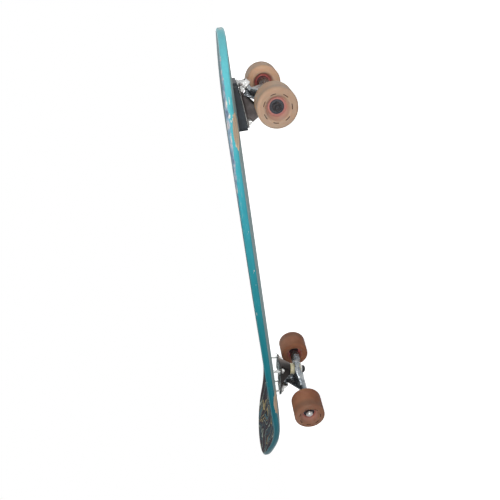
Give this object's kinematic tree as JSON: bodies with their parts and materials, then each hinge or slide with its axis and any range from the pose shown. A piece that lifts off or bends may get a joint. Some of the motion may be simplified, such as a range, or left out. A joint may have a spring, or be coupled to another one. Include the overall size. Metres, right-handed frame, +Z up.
{
  "type": "skateboard",
  "caption": "Cruiser skateboard with a kicktail deck, sprung leaning trucks on wedge risers and soft wheels with ball bearings.",
  "frame": {"origin": "on the ground, under the middle of the deck's length and width", "axes": "+X toward the nose, +Y toward the left wheels, +Z up"},
  "size_m": [0.9096, 0.2442, 0.142],
  "materials": {
    "turquoise_maple": "gloss lacquer over stained maple, bare wood in the wheel wells",
    "printed_grip": "printed clear grip sheet in slate, plum and cream",
    "riser_black": "satin moulded",
    "cast_grey": "satin casting",
    "hanger_chrome": "polished casting",
    "steel": "zinc plated",
    "dark_steel": "blackened",
    "bearing_steel": "polished",
    "cage": "satin nylon",
    "shield_black": "satin black seal",
    "urethane_cream": "satin urethane",
    "urethane_amber": "translucent amber urethane with a printed ring",
    "core_red": "gloss nylon"
  },
  "bodies": {
    "board": {"deck": "turquoise_maple", "printed_grip_sheet": "printed_grip", "front_riser": "riser_black", "front_base_plate": "cast_grey", "front_pivot_cup": "urethane_cream", "front_kingpin": "steel", "front_board_bushing": "urethane_cream", "front_road_bushing": "urethane_cream", "front_cup_washer": "steel", "front_kingpin_nut": "dark_steel", "front_deck_bolts": "steel", "front_deck_nuts": "steel", "rear_riser": "riser_black", "rear_base_plate": "cast_grey", "rear_pivot_cup": "urethane_cream", "rear_kingpin": "steel", "rear_board_bushing": "urethane_cream", "rear_road_bushing": "urethane_cream", "rear_cup_washer": "steel", "rear_kingpin_nut": "dark_steel", "rear_deck_bolts": "steel", "rear_deck_nuts": "steel"},
    "front_truck": {"front_hanger": "hanger_chrome", "front_axle": "steel", "front_axle_nuts": "steel", "front_speed_washers": "steel", "front_inner_rings": "bearing_steel", "front_spacers": "steel"},
    "rear_truck": {"rear_hanger": "hanger_chrome", "rear_axle": "steel", "rear_axle_nuts": "steel", "rear_speed_washers": "steel", "rear_inner_rings": "bearing_steel", "rear_spacers": "steel"},
    "front_left_wheel": {"front_left_tyre": "urethane_amber", "front_left_core": "core_red", "front_left_outer_rings": "bearing_steel", "front_left_balls": "bearing_steel", "front_left_cages": "cage", "front_left_shields": "shield_black"},
    "front_right_wheel": {"front_right_tyre": "urethane_amber", "front_right_core": "core_red", "front_right_outer_rings": "bearing_steel", "front_right_balls": "bearing_steel", "front_right_cages": "cage", "front_right_shields": "shield_black"},
    "rear_left_wheel": {"rear_left_tyre": "urethane_amber", "rear_left_core": "core_red", "rear_left_outer_rings": "bearing_steel", "rear_left_balls": "bearing_steel", "rear_left_cages": "cage", "rear_left_shields": "shield_black"},
    "rear_right_wheel": {"rear_right_tyre": "urethane_amber", "rear_right_core": "core_red", "rear_right_outer_rings": "bearing_steel", "rear_right_balls": "bearing_steel", "rear_right_cages": "cage", "rear_right_shields": "shield_black"}
  },
  "joints": [
    {"name": "front_steer", "type": "hinge", "parent": "board", "child": "front_truck", "pos_m": [0.36424, 0, 0.06751], "axis": [0.7989, 0, 0.6014], "range_deg": [-12, 12], "stiffness_Nm_per_rad": 45, "deforming": ["front_board_bushing", "front_road_bushing"]},
    {"name": "rear_steer", "type": "hinge", "parent": "board", "child": "rear_truck", "pos_m": [-0.28624, 0, 0.06751], "axis": [-0.7989, 0, 0.6014], "range_deg": [-12, 12], "stiffness_Nm_per_rad": 45, "deforming": ["rear_board_bushing", "rear_road_bushing"]},
    {"name": "front_left_spin", "type": "hinge", "parent": "front_truck", "child": "front_left_wheel", "pos_m": [0.348, 0.096, 0.0305], "axis": [0, 1, 0], "continuous": true},
    {"name": "front_right_spin", "type": "hinge", "parent": "front_truck", "child": "front_right_wheel", "pos_m": [0.348, -0.096, 0.0305], "axis": [0, 1, 0], "continuous": true},
    {"name": "rear_left_spin", "type": "hinge", "parent": "rear_truck", "child": "rear_left_wheel", "pos_m": [-0.27, 0.096, 0.0305], "axis": [0, 1, 0], "continuous": true},
    {"name": "rear_right_spin", "type": "hinge", "parent": "rear_truck", "child": "rear_right_wheel", "pos_m": [-0.27, -0.096, 0.0305], "axis": [0, 1, 0], "continuous": true}
  ]
}
